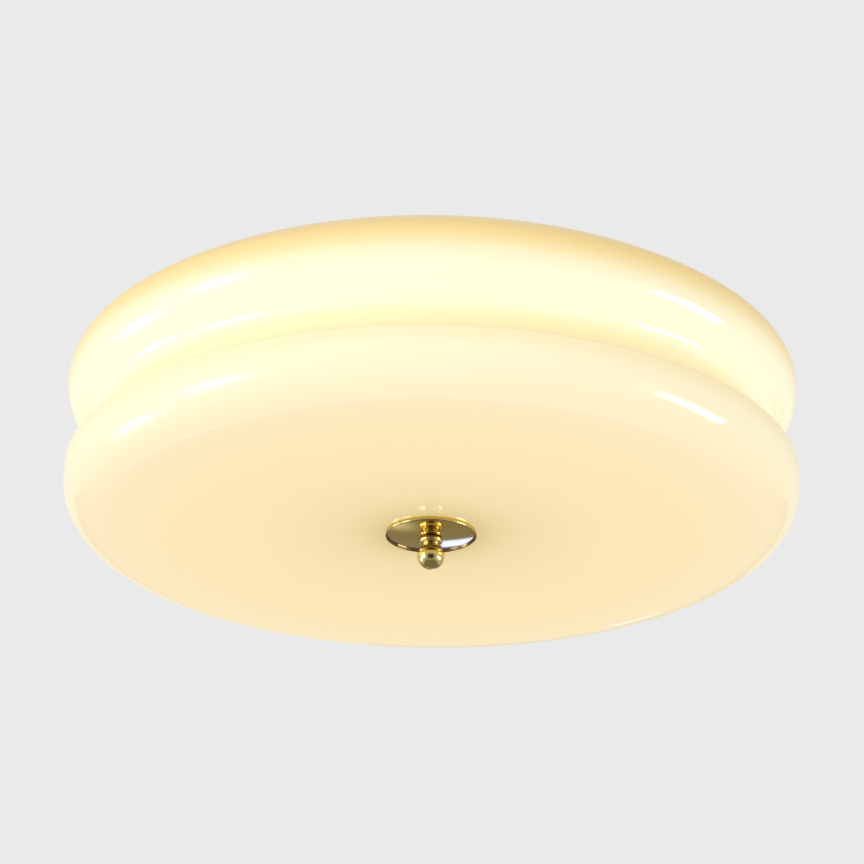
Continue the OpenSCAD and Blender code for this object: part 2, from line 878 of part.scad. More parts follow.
module tube(path, r, facets = 8) {
    last = len(path) - 1;
    t = [for (i = [0 : last]) unit(path[min(i + 1, last)] - path[max(i - 1, 0)])];
    n = sides(t, [0.31, 0.95, 0.1]);
    rings = [for (i = [0 : last], k = [0 : facets - 1])
        path[i] + r * (cos(360 * k / facets) * n[i] + sin(360 * k / facets) * cross(t[i], n[i]))];
    walls = [for (i = [0 : last - 1], k = [0 : facets - 1], half = [0, 1])
        let (a = i * facets + k, b = i * facets + (k + 1) % facets)
        half == 0 ? [a, a + facets, b] : [b, a + facets, b + facets]];
    ends = [[for (k = [0 : facets - 1]) k], [for (k = [facets - 1 : -1 : 0]) last * facets + k]];
    polyhedron(rings, concat(walls, ends));
}

module lead(n) {
    a = lamp_a[n - 1] - between;
    up = reversed(lead_high[n - 1]);
    down = [for (p = concat([bushing_top], lead_low)) turned(p, a)];
    color([0.93, 0.92, 0.88])
    tube(curve(concat(up, down), 3), lead_d / 2);
}

glass_shade();
gasket_upper();
gasket_lower();
finial_dish();
finial_collar();
finial_ball();
mounting_strap();
strap_studs();
stud_nuts();
base_pan();
pan_nuts();
rim_buffers();
centre_rod();
rod_nuts();
rod_washers();
stop_nut();
stop_washer();
holder_bracket();
bracket_screws();
bracket_nuts();
lead_bushings();
holder_nipples();
nipple_nuts();
lampholder(1);  // lampholder_1
lampholder(2);  // lampholder_2
lampholder(3);  // lampholder_3
holder_shell(1);  // holder_shell_1
holder_shell(2);  // holder_shell_2
holder_shell(3);  // holder_shell_3
holder_contact(1);  // holder_contact_1
holder_contact(2);  // holder_contact_2
holder_contact(3);  // holder_contact_3
bulb_cap(1);  // bulb_cap_1
bulb_cap(2);  // bulb_cap_2
bulb_cap(3);  // bulb_cap_3
bulb_body(1);  // bulb_body_1
bulb_body(2);  // bulb_body_2
bulb_body(3);  // bulb_body_3
bulb_globe(1);  // bulb_globe_1
bulb_globe(2);  // bulb_globe_2
bulb_globe(3);  // bulb_globe_3
terminal_block();
terminal_screws();
block_screws();
earth_screw();
earth_washer();
lead(1);  // lead_1
lead(2);  // lead_2
lead(3);  // lead_3
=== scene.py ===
import math

import bmesh
import bpy
from mathutils import Matrix, Vector


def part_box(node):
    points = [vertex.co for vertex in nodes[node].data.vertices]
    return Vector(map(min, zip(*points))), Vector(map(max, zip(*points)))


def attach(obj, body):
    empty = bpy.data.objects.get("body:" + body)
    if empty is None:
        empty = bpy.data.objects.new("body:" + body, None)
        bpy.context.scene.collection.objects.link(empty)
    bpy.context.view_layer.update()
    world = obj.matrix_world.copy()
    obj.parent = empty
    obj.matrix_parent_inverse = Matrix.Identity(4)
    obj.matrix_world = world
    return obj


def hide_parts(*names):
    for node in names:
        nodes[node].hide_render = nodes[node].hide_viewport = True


# Two-tier milk glass ceiling light, lit, seen from below. Metres; z is up and the ceiling is z = 0.
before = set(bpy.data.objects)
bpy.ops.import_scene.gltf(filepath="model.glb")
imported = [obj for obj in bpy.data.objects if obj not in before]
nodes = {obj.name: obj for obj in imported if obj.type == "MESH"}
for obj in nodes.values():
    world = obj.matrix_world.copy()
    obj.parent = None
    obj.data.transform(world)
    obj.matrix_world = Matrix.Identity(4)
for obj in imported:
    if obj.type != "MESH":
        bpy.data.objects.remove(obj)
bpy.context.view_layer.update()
mm = 0.001
print("frame loaded:", len(nodes), "CAD nodes")


# The camera looks up at the underside.
cameraFit = {
    "aim": Vector((0, 0, -0.088)),
    "distance": 2.0,
    "below": 22.435,      # degrees under the horizon
    "tilt": 23.31,        # degrees that the view looks up
    "roll": 0.529,
    "lens": 152.66,
    "sensor": 36,
    "nearest": 0.05,
}


def makeCamera(fit):
    camera = bpy.data.objects.new("camera", bpy.data.cameras.new("camera"))
    bpy.context.scene.collection.objects.link(camera)
    camera.data.lens = fit["lens"]
    camera.data.sensor_width = fit["sensor"]
    camera.data.clip_start = fit["nearest"]
    below = math.radians(fit["below"])
    camera.location = fit["aim"] - fit["distance"] * Vector((0, math.cos(below), math.sin(below)))
    tilt = Matrix.Rotation(math.radians(90 + fit["tilt"]), 3, "X")
    roll = Matrix.Rotation(math.radians(fit["roll"]), 3, "Z")
    camera.rotation_euler = (tilt @ roll).to_euler()
    bpy.context.scene.camera = camera


makeCamera(cameraFit)
bpy.context.scene.view_settings.view_transform = "Standard"
print("camera set")


class Wire:  # one output of a node, so that shader maths reads as plain expressions
    def __init__(self, tree, socket):
        self.tree, self.socket = tree, socket

    def maths(self, operation, first, second=0.0):
        node = self.tree.nodes.new("ShaderNodeMath")
        node.operation = operation
        for socket, value in zip(node.inputs, (first, second)):
            if isinstance(value, Wire):
                self.tree.links.new(value.socket, socket)
            else:
                socket.default_value = value
        return Wire(self.tree, node.outputs[0])

    def __add__(self, other):
        return self.maths("ADD", self, other)

    def __radd__(self, other):
        return self.maths("ADD", other, self)

    def __sub__(self, other):
        return self.maths("SUBTRACT", self, other)

    def __rsub__(self, other):
        return self.maths("SUBTRACT", other, self)

    def __mul__(self, other):
        return self.maths("MULTIPLY", self, other)

    def __rmul__(self, other):
        return self.maths("MULTIPLY", other, self)

    def __truediv__(self, other):
        return self.maths("DIVIDE", self, other)

    def __pow__(self, other):
        return self.maths("POWER", self, other)

    def __abs__(self):
        return self.maths("ABSOLUTE", self)


class Finish:  # the nodes of one material or of the world
    def __init__(self, name, slot=None, owner=None, **shader):
        self.slot = slot
        self.output = None
        self.owner = owner or bpy.data.materials.new(name)
        self.owner.use_nodes = True
        self.tree = self.owner.node_tree
        self.tree.nodes.clear()
        if slot:
            self.shader = self.made("BsdfPrincipled", sockets=shader)
            self.show(Wire(self.tree, self.shader.outputs[0]))

    def put(self, socket, value):
        if isinstance(value, Wire):
            self.tree.links.new(value.socket, socket)
        elif isinstance(value, tuple) and len(value) == 3 and len(socket.default_value) == 4:
            socket.default_value = (*value, 1)
        else:
            socket.default_value = value

    def made(self, kind, settings=None, sockets=None):
        node = self.tree.nodes.new("ShaderNode" + kind)
        for name, value in (settings or {}).items():
            if name == "stops":
                self.fillRamp(node.color_ramp, value)
            else:
                setattr(node, name, value)
        for name, value in (sockets or {}).items():
            self.put(node.inputs[name], value)
        return node

    def node(self, kind, settings=None, sockets=None, out=0):
        made = self.made(kind, settings, sockets)
        if isinstance(out, tuple):
            return [Wire(self.tree, made.outputs[name]) for name in out]
        return Wire(self.tree, made.outputs[out])

    def fillRamp(self, ramp, stops):
        while len(ramp.elements) < len(stops):
            ramp.elements.new(1)
        for element, (position, colour) in zip(ramp.elements, stops):
            element.position = position
            element.color = (*colour, 1)

    def show(self, surface):
        kind = "World" if isinstance(self.owner, bpy.types.World) else "Material"
        if not self.output:
            self.output = self.made("Output" + kind)
        self.put(self.output.inputs["Surface"], surface)

    def feed(self, **sockets):
        for name, value in sockets.items():
            self.put(self.shader.inputs[name], value)

    def place(self, kind="Object"):
        return self.node("TexCoord", out=kind)

    def axes(self, vector):
        return self.node("SeparateXYZ", sockets={"Vector": vector}, out=("X", "Y", "Z"))

    def seen(self):  # 1 for the camera, for reflections and for what shows through glass
        camera, glossy, through = self.node("LightPath", out=("Is Camera Ray", "Is Glossy Ray",
                                                              "Is Transmission Ray"))
        return camera + glossy + through

    def noise(self, scale, detail, rough):
        return self.node("TexNoise", sockets={"Vector": self.place(), "Scale": scale, "Detail": detail,
                                              "Roughness": rough})

    def ramp(self, value, stops, whole):
        return self.node("ValToRGB", {"stops": [(at / whole, colour) for at, colour in stops]}, {"Fac": value})

    def between(self, factor, first, second):
        return self.node("Mix", {"data_type": "RGBA"}, {0: factor, 6: first, 7: second}, out=2)

    def span(self, value, low, high, first=0.0, last=1.0):
        return self.node("MapRange", {"interpolation_type": "SMOOTHSTEP"},
                         {"Value": value, "From Min": low, "From Max": high, "To Min": first, "To Max": last})

    def bump(self, height, strength, distance):
        return self.node("Bump", sockets={"Height": height, "Strength": strength, "Distance": distance})


# Surroundings: a pale backdrop and a pale floor far below.
studio = {
    "backdrop": 0.823,       # what the camera and reflections see
    "ambient": 0.42,         # what lights the object
    "middle": Vector((0, 0, -0.06)),
    "floorZ": -2.8,
    "floorWidth": 160,
    "paper": 0.84,
    "paperRough": 0.9,
    "paperGlow": 0.97,
    "glowShare": 0.62,       # how much of the glow the camera sees in the paper
}


def makeWorld(values):
    world = bpy.data.worlds.new("studio")
    bpy.context.scene.world = world
    air = Finish("studio", owner=world)
    seen = air.seen()
    shown = air.node("Background", sockets={"Color": (values["backdrop"],) * 3})
    lighting = air.node("Background", sockets={"Color": (values["ambient"],) * 3})
    air.show(air.node("MixShader", sockets={0: seen, 1: lighting, 2: shown}))


def linkObject(name, data):
    thing = bpy.data.objects.new(name, data)
    bpy.context.scene.collection.objects.link(thing)
    return thing


def aimed(direction):
    return direction.to_track_quat("Z", "Y").to_matrix().to_4x4()


def panel(name, width, height, matrix, material):
    bm = bmesh.new()
    bm.loops.layers.uv.new("UVMap")
    bmesh.ops.create_grid(bm, x_segments=1, y_segments=1, size=0.5, calc_uvs=True)
    bmesh.ops.transform(bm, matrix=matrix @ Matrix.Diagonal((width, height, 1, 1)), verts=bm.verts)
    mesh = bpy.data.meshes.new(name)
    bm.to_mesh(mesh)
    bm.free()
    mesh.materials.append(material)
    thing = linkObject(name, mesh)
    return thing


def makeFloor(values):
    paper = Finish("floorPaper", slot="floor", Roughness=values["paperRough"],
                   **{"Base Color": (values["paper"],) * 3})
    seen = paper.seen()
    glow = paper.node("Emission", sockets={"Color": (values["paperGlow"],) * 3, "Strength": 1.0})
    plain = Wire(paper.tree, paper.shader.outputs[0])
    paper.show(paper.node("MixShader", sockets={0: values["glowShare"] * seen, 1: plain, 2: glow}))
    width = values["floorWidth"]
    panel("floor", width, width, Matrix.Translation((0, 0, values["floorZ"])), paper.owner)


# Softboxes and flags that only polished surfaces see: where they stand, width and height, brightness and tint,
# and how much of each edge fades. The two walls and the small flag stand upright behind the object, and the rest
# face it.
softboxes = {
    "softboxRight": {"toward": (0.943, -0.13, -0.30), "far": 2.2, "size": (1.05, 0.5), "glow": 12.0, "soft": 0.04},
    "softboxLeft": {"toward": (-0.89, -0.41, -0.20), "far": 2.2, "size": (1.3, 1.2), "glow": 13.0, "soft": 1.0},
    "softboxRear": {"toward": (-0.93, 0.17, -0.33), "far": 2.2, "size": (1.3, 1.1), "glow": 11.0, "soft": 1.0},
    "flagFar": {"toward": (0.0, 0.92, -0.45), "far": 2.4, "size": (3.6, 2.0), "glow": 0.34, "soft": 0.0,
                "tint": (1.0, 0.90, 0.68)},
    "flagFront": {"toward": (0.0, -0.92, -0.40), "far": 3.2, "size": (6.0, 4.6), "glow": 0.06, "soft": 0.8},
    "flagBelow": {"toward": (0.0, 0.1, -1.0), "far": 1.9, "size": (5.0, 5.0), "glow": 0.25, "soft": 0.5},
    "glowLeft": {"toward": (-0.93, -0.33, -0.17), "far": 2.3, "size": (1.9, 1.5), "glow": 2.6, "soft": 0.5},
    "stripRight": {"toward": (0.90, -0.42, -0.30), "far": 2.4, "size": (0.8, 1.6), "glow": 2.0, "soft": 0.8},
    "wallRight": {"at": (0.160, 1.8, -0.455), "size": (0.22, 0.49), "glow": 4.0, "soft": 0.03,
                  "tint": (0.33, 0.42, 1.0)},
    "wallLeft": {"at": (-0.42, 1.8, -1.300), "size": (0.74, 0.74), "glow": 1.2, "soft": 1.0},
    "edgeFlag": {"at": (0.09, 0.25, -0.125), "size": (0.26, 0.053), "glow": 0.30, "soft": 0.0},
}


def makeSoftbox(name, values):
    width, height = values["size"]
    cloth = Finish(name)
    cover = 1.0
    if values["soft"]:
        fade = values["soft"] / 2
        across, up = cloth.axes(cloth.place("UV"))[:2]
        edgeX = cloth.span(abs(across - 0.5), 0.5 - fade, 0.5, 1, 0)
        edgeY = cloth.span(abs(up - 0.5), 0.5 - fade, 0.5, 1, 0)
        cover = edgeX * edgeY
    tint = values.get("tint", (1.0, 1.0, 1.0))
    lit = cloth.node("Emission", sockets={"Color": tint, "Strength": values["glow"]})
    cloth.show(cloth.node("MixShader", sockets={0: cover, 1: cloth.node("BsdfTransparent"), 2: lit}))
    if "at" in values:
        matrix = Matrix.Translation(values["at"]) @ aimed(Vector((0, -1, 0)))
    else:
        toward = Vector(values["toward"]).normalized()
        matrix = Matrix.Translation(studio["middle"] + toward * values["far"]) @ aimed(-toward)
    thing = panel(name, width, height, matrix, cloth.owner)
    thing.visible_camera = thing.visible_diffuse = thing.visible_shadow = False
    thing.visible_transmission = thing.visible_volume_scatter = False


# Plain soft light on the object: direction, distance, side of the square lamp, and power.
roomLights = {
    "lampAbove": {"toward": (-0.25, -0.2, 1.0), "far": 2.4, "side": 2.2, "power": 34},
    "lampLeft": {"toward": (-1.0, -0.9, 0.1), "far": 2.6, "side": 1.8, "power": 25},
    "lampRight": {"toward": (1.0, -0.7, 0.0), "far": 2.6, "side": 1.8, "power": 12},
}


def makeRoomLight(name, values):
    light = bpy.data.lights.new(name, "AREA")
    light.shape = "SQUARE"
    light.size = values["side"]
    light.energy = values["power"]
    toward = Vector(values["toward"]).normalized()
    lamp = linkObject(name, light)
    lamp.matrix_world = Matrix.Translation(studio["middle"] + toward * values["far"]) @ aimed(toward)
    lamp.visible_glossy = False


makeWorld(studio)
makeFloor(studio)
for name, values in softboxes.items():
    makeSoftbox(name, values)
for name, values in roomLights.items():
    makeRoomLight(name, values)
print("studio made")


# Milk glass, lit from inside: its glow is painted light, an emission colour that goes by height above the underside
# in mm, and on the underside by distance from the middle. The painted glow darkens as painted shade in a thin line
# where the tiers meet, in the waist, towards the crown and round the finial. The crown's base colour goes darker and
# yellower by height, as painted shade too.
# painted glow of the wall; the dark stop at 33.4 mm is a painted shadow line where the tiers meet
wallGlow = [
    (0, (0.70, 0.56, 0.33)), (6, (0.66, 0.57, 0.36)), (14, (0.64, 0.565, 0.38)), (22, (0.60, 0.51, 0.32)),
    (30, (0.54, 0.43, 0.21)), (33.4, (0.32, 0.21, 0.06)), (38, (0.46, 0.32, 0.11)), (43, (0.60, 0.44, 0.20)),
    (48, (0.63, 0.51, 0.25)), (54, (0.66, 0.62, 0.43)), (60, (0.68, 0.67, 0.50)), (68, (0.66, 0.64, 0.46)),
    (73, (0.63, 0.56, 0.35)), (78, (0.56, 0.44, 0.20)), (84, (0.46, 0.34, 0.14)), (92, (0.27, 0.19, 0.08)),
    (104, (0.14, 0.09, 0.03))]
# painted glow of the underside, darker near the middle as painted shadow of the finial
floorGlow = [
    (0, (0.46, 0.33, 0.08)), (26, (0.49, 0.35, 0.10)), (36, (0.59, 0.43, 0.18)), (52, (0.67, 0.50, 0.235)),
    (90, (0.73, 0.555, 0.28)), (140, (0.74, 0.575, 0.305)), (165, (0.74, 0.585, 0.33)), (178, (0.74, 0.60, 0.37))]
# base colour darkened and yellowed towards the crown: painted shade
paintedCrownShade = [(76, (0.62, 0.58, 0.42)), (84, (0.61, 0.475, 0.215)), (94, (0.57, 0.415, 0.15))]
glassLook = {
    "rough": 0.22,
    "coat": 0.6,
    "coatRough": 0.035,
    "corner": (0.002, 0.05),     # share of the height in which the underside's glow gives way to the wall's
    "cloud": 0.04,
    "cloudTone": (0.70, 0.62, 0.42),
    "cloudScale": 9,
    "ripple": 0.05,
    "rippleScale": 16,
    "rippleDeep": 0.0016,
}


def makeMilkGlass():
    look = glassLook
    low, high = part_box("glass_shade")
    glass = Finish("milkGlass", slot="milk_glass", Roughness=look["rough"], IOR=1.5, **{
        "Coat Weight": look["coat"], "Coat Roughness": look["coatRough"], "Coat IOR": 1.5,
        "Specular IOR Level": 0.0, "Emission Strength": 1.0})
    x, y, z = glass.axes(glass.place())
    height = (z - low.z) / (high.z - low.z)
    radius = (x * x + y * y) ** 0.5 / high.x
    tall, wide = (high.z - low.z) / mm, high.x / mm
    onWall = glass.span(height, *look["corner"])
    # painted glow of the lit glass, with its painted shade at the seam, waist, crown and finial
    tint = glass.between(onWall, glass.ramp(radius, floorGlow, wide), glass.ramp(height, wallGlow, tall))
    cloudy = glass.noise(look["cloudScale"], 1, 0.4)
    tint = glass.between(cloudy * look["cloud"], tint, look["cloudTone"])
    ripple = glass.bump(glass.noise(look["rippleScale"], 1, 0.3), look["ripple"], look["rippleDeep"])
    # the base colour carries the crown's painted shade, the emission colour the painted glow
    glass.feed(**{"Base Color": glass.ramp(height, paintedCrownShade, tall), "Emission Color": tint, "Normal": ripple})
    return glass


# Brass in three grades of polish. The dish's lip carries a dark ring of painted shade, where the lip's inner face
# lies in shadow.
brassLook = {
    "dark": (0.60, 0.455, 0.16),
    "pale": (0.70, 0.54, 0.21),
    "tarnish": (0.17, 0.12, 0.07),
    "lipShadeIn": (1.04, 0.96),   # mm from the dish's edge inwards, between which the painted shade of the lip sets in and between which it ends
    "tarnishOut": (0.36, 0.24),  # and between which it ends
    "blotch": 60,
    "blotchRough": 0.03,
    "grain": 900,
    "grainDeep": 0.00006,
}


def makeBrass(name, rough, scratch, edge=None):
    look = brassLook
    brass = Finish(name, slot="brass", Metallic=1.0, IOR=1.5)
    broad = brass.noise(look["blotch"], 3, 0.5)
    tone = brass.between(broad, look["dark"], look["pale"])
    if edge:
        x, y, z = brass.axes(brass.place())
        radius = (x * x + y * y) ** 0.5
        inner, outer = (brass.span(radius, edge - start * mm, edge - end * mm)
                        for start, end in (look["lipShadeIn"], look["tarnishOut"]))
        # painted shade: a dark ring on the dish's lip
        tone = brass.between(inner - outer, tone, look["tarnish"])
    brass.feed(**{
        "Base Color": tone,
        "Roughness": rough + look["blotchRough"] * broad,
        "Normal": brass.bump(brass.noise(look["grain"], 2, 0.6), scratch, look["grainDeep"])})
    return brass


# What all plated metals share, and then for each: both ends of the colour, least roughness and scale of the spangle.
metalLook = {
    "spangleTone": 0.35,     # share of the spangle in the colour
    "blotchTone": 0.65,      # and of the blotches
    "spangleRough": 0.10,
    "blotchRough": 0.08,
    "blotch": 90,
    "grain": 1500,
    "grainHard": 0.12,
    "grainDeep": 0.00008,
}
metals = {
    "zincSteel": {"slot": "steel", "dark": (0.56, 0.57, 0.58), "pale": (0.74, 0.74, 0.72),
                  "rough": 0.26, "spangle": 420},
    "nickelPlate": {"slot": "bulb_cap", "dark": (0.70, 0.70, 0.68), "pale": (0.80, 0.79, 0.77),
                    "rough": 0.18, "spangle": 900},
}


def makeMetal(name, slot, dark, pale, rough, spangle):
    look = metalLook
    metal = Finish(name, slot=slot, Metallic=1.0, IOR=1.5)
    flakes = metal.node("TexVoronoi", sockets={"Vector": metal.place(), "Scale": spangle}, out="Color")
    tone = metal.node("RGBToBW", sockets={"Color": flakes})
    broad = metal.noise(look["blotch"], 4, 0.6)
    metal.feed(**{
        "Base Color": metal.between(look["spangleTone"] * tone + look["blotchTone"] * broad, dark, pale),
        "Roughness": rough + look["spangleRough"] * tone + look["blotchRough"] * broad,
        "Normal": metal.bump(metal.noise(look["grain"], 2, 0.6), look["grainHard"], look["grainDeep"])})
    return metal


# What all painted, glazed and moulded finishes share, and then for each: both ends of the colour, least roughness,
# scale and depth of the grain, and the glaze or the light it has.
mouldLook = {
    "blotch": 45,
    "blotchRough": 0.08,
    "grainHard": 0.25,
    "coatRough": 0.05,
}
mouldings = {
    "powderCoat": {"slot": "white_paint", "dark": (0.86, 0.86, 0.84), "pale": (0.90, 0.90, 0.88),
                   "rough": 0.36, "grain": 1100, "deep": 0.00012},
    "glazedPorcelain": {"slot": "porcelain", "dark": (0.86, 0.85, 0.80), "pale": (0.90, 0.89, 0.85),
                        "rough": 0.30, "grain": 160, "deep": 0.00010, "coat": 1.0},
    "siliconeRubber": {"slot": "silicone", "dark": (0.72, 0.72, 0.69), "pale": (0.78, 0.78, 0.75),
                       "rough": 0.55, "grain": 700, "deep": 0.00008},
    "housingPlastic": {"slot": "bulb_housing", "dark": (0.86, 0.86, 0.85), "pale": (0.89, 0.89, 0.88),
                       "rough": 0.38, "grain": 1300, "deep": 0.00006},
    "opalDome": {"slot": "bulb_dome", "dark": (0.80, 0.77, 0.68), "pale": (0.83, 0.80, 0.72),
                 "rough": 0.30, "grain": 400, "deep": 0.00002, "lit": 0.7, "glow": (1.0, 0.90, 0.66)},
    "leadSleeve": {"slot": "lead_sleeve", "dark": (0.80, 0.79, 0.74), "pale": (0.84, 0.83, 0.78),
                   "rough": 0.48, "grain": 2600, "deep": 0.00010},
    "blockPlastic": {"slot": "block_plastic", "dark": (0.82, 0.81, 0.76), "pale": (0.86, 0.85, 0.80),
                     "rough": 0.40, "grain": 1500, "deep": 0.00008},
}


def makeMoulded(name, slot, dark, pale, rough, grain, deep, coat=0.0, lit=0.0, glow=(1.0, 1.0, 1.0)):
    look = mouldLook
    moulded = Finish(name, slot=slot, IOR=1.5, **{
        "Coat Weight": coat, "Coat Roughness": look["coatRough"], "Emission Strength": lit, "Emission Color": glow})
    broad = moulded.noise(look["blotch"], 3, 0.5)
    moulded.feed(**{
        "Base Color": moulded.between(broad, dark, pale),
        "Roughness": rough + look["blotchRough"] * broad,
        "Normal": moulded.bump(moulded.noise(grain, 2, 0.55), look["grainHard"], deep)})
    return moulded


milkGlass = makeMilkGlass()
polishedBrass = makeBrass("polishedBrass", 0.03, 0.04)
dishBrass = makeBrass("dishBrass", 0.07, 0.04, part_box("finial_dish")[1].x)
plainBrass = makeBrass("plainBrass", 0.22, 0.15)
zincSteel, nickelPlate = (makeMetal(name, **values) for name, values in metals.items())
powderCoat, glazedPorcelain, siliconeRubber, housingPlastic, opalDome, leadSleeve, blockPlastic = (
    makeMoulded(name, **values) for name, values in mouldings.items())
print("finishes made")


# Modelling helpers, which take millimetres.
class Section:  # a profile in the XZ plane, drawn as a chain of edges and then turned about Z
    def __init__(self, x, z):
        self.bm = bmesh.new()
        self.tip = self.bm.verts.new((x * mm, 0, z * mm))

    def line(self, x, z, cuts=0):
        start, end = self.tip.co.copy(), Vector((x * mm, 0, z * mm))
        for step in range(1, cuts + 2):
            self.tip = bmesh.ops.extrude_vert_indiv(self.bm, verts=[self.tip])["verts"][0]
            self.tip.co = start.lerp(end, step / (cuts + 1))
        return self

    def arc(self, x, z, turn, steps):
        spun = bmesh.ops.spin(self.bm, geom=[self.tip], cent=(x * mm, 0, z * mm), axis=(0, -1, 0),
                              angle=math.radians(turn), steps=steps)
        self.tip = [item for item in spun["geom_last"] if isinstance(item, bmesh.types.BMVert)][0]
        return self

    def turned(self, steps):
        bmesh.ops.remove_doubles(self.bm, verts=self.bm.verts, dist=1e-7)
        bmesh.ops.spin(self.bm, geom=self.bm.verts[:] + self.bm.edges[:], cent=(0, 0, 0), axis=(0, 0, 1),
                       angle=math.tau, steps=steps, use_merge=True)
        return closed(self.bm)

    def screwed(self, pitch, low, high, steps, fill=True):
        # one turn is spun, and its copies are stacked and cut off level at both ends
        turns = math.ceil((high - low) / pitch) + 2
        bmesh.ops.spin(self.bm, geom=self.bm.verts[:] + self.bm.edges[:], cent=(0, 0, 0), axis=(0, 0, 1),
                       dvec=(0, 0, pitch * mm / steps), angle=math.tau, steps=steps)
        whole = joined(*(moved(self.bm.copy(), shifted(0, 0, pitch * turn)) for turn in range(turns)))
        bmesh.ops.remove_doubles(whole, verts=whole.verts, dist=4e-6)
        for height, side in ((low, -1), (high, 1)):
            everything = whole.verts[:] + whole.edges[:] + whole.faces[:]
            bmesh.ops.bisect_plane(whole, geom=everything, dist=1e-7, plane_co=(0, 0, height * mm),
                                   plane_no=(0, 0, side), clear_outer=True)
        if fill:
            rims = [edge for edge in whole.edges if edge.is_boundary]
            bmesh.ops.holes_fill(whole, edges=rims, sides=0)
        return closed(whole)


def closed(bm):
    bmesh.ops.remove_doubles(bm, verts=bm.verts, dist=1e-6)
    bmesh.ops.delete(bm, geom=[edge for edge in bm.edges if edge.is_wire], context="EDGES")
    bmesh.ops.recalc_face_normals(bm, faces=bm.faces)
    return bm


def moved(bm, *steps):
    matrix = Matrix.Identity(4)
    for step in steps:
        matrix = matrix @ step
    bmesh.ops.transform(bm, matrix=matrix, verts=bm.verts)
    return bm


def shifted(x, y, z):
    return Matrix.Translation((x * mm, y * mm, z * mm))


def around(radius, angle, z):
    return Matrix.Rotation(math.radians(angle), 4, "Z") @ shifted(radius, 0, z)


def joined(*parts):
    whole = bmesh.new()
    for part in parts:
        mesh = bpy.data.meshes.new("part")
        part.to_mesh(mesh)
        part.free()
        whole.from_mesh(mesh)
        bpy.data.meshes.remove(mesh)
    return whole


def meshOf(name, bm):
    mesh = bpy.data.meshes.new(name)
    bm.to_mesh(mesh)
    bm.free()
    return mesh


def carved(bm, cutter):
    # the cut is made in a scene of its own, which is taken away again
    bench = bpy.data.scenes.new("bench")
    block, tool = (bpy.data.objects.new("part", meshOf("part", shape)) for shape in (bm, cutter))
    for thing in (block, tool):
        bench.collection.objects.link(thing)
    cut = block.modifiers.new("cut", "BOOLEAN")
    cut.operation, cut.solver, cut.object = "DIFFERENCE", "EXACT", tool
    bench.view_layers[0].update()
    out = bmesh.new()
    out.from_mesh(block.evaluated_get(bench.view_layers[0].depsgraph).to_mesh())
    for thing in (block, tool):
        mesh = thing.data
        bpy.data.objects.remove(thing)
        bpy.data.meshes.remove(mesh)
    bpy.data.scenes.remove(bench)
    return out


def piece(name, bm, finish, body, *replaced, crease=32):
    mesh = meshOf(name, bm)
    mesh.shade_smooth()
    mesh.set_sharp_from_angle(angle=math.radians(crease))
    mesh.materials.append(finish.owner)
    thing = linkObject(name, mesh)
    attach(thing, body)
    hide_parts(*replaced)
    return thing


# A CAD solid whose shape is right: its copy is merged, its edges are eased and it is shaded smooth.
easing = {
    "sharp": 35,             # degrees from which an edge is eased
    "segments": 2,
    "flat": 0.5,             # degrees within which faces are made one
    "square": 40,            # how far from square two joined triangles may be
}


def dressed(node, finish, body, ease, crease=20):
    s = easing
    bm = bmesh.new()
    bm.from_mesh(nodes[node].data)
    bmesh.ops.remove_doubles(bm, verts=bm.verts, dist=2e-6)
    bmesh.ops.dissolve_limit(bm, angle_limit=math.radians(s["flat"]), verts=bm.verts, edges=bm.edges,
                             use_dissolve_boundaries=False)
    bmesh.ops.triangulate(bm, faces=[face for face in bm.faces if len(face.verts) > 4])
    bmesh.ops.join_triangles(bm, faces=bm.faces, angle_face_threshold=math.radians(s["flat"]),
                             angle_shape_threshold=math.radians(s["square"]))
    if ease:
        sharp = math.radians(s["sharp"])
        edges = [edge for edge in bm.edges if edge.is_manifold and edge.calc_face_angle() > sharp]
        bmesh.ops.bevel(bm, geom=edges, offset=ease * mm, offset_type="OFFSET", segments=s["segments"],
                        profile=0.5, affect="EDGES", clamp_overlap=True, material=-1)
    name = "".join(word.capitalize() if place else word for place, word in enumerate(node.split("_")))
    return piece(name, bm, finish, body, node, crease=crease)


# The glass: two tiers drawn as one section.
glassSize = {
    "hole": 6.5,             # radius of the hole for the rod
    "wall": 3.5,
    "lowerBase": 22,         # corner of the underside
    "lowerTop": 6,           # upper edge of the lower tier
    "lowerHigh": 34.5,       # height of the lower tier
    "waistIn": 17,
    "waistFillet": 11,
    "upperMid": 35,          # ceiling to the widest part of the upper tier
    "upperBase": 22,
    "crownEdge": 18,
    "crownHigh": 32.5,       # height of the crown over the widest part
    "crownReach": 58,
    "opening": 150,          # radius of the opening
    "rounds": 240,
    "crease": 50,
}


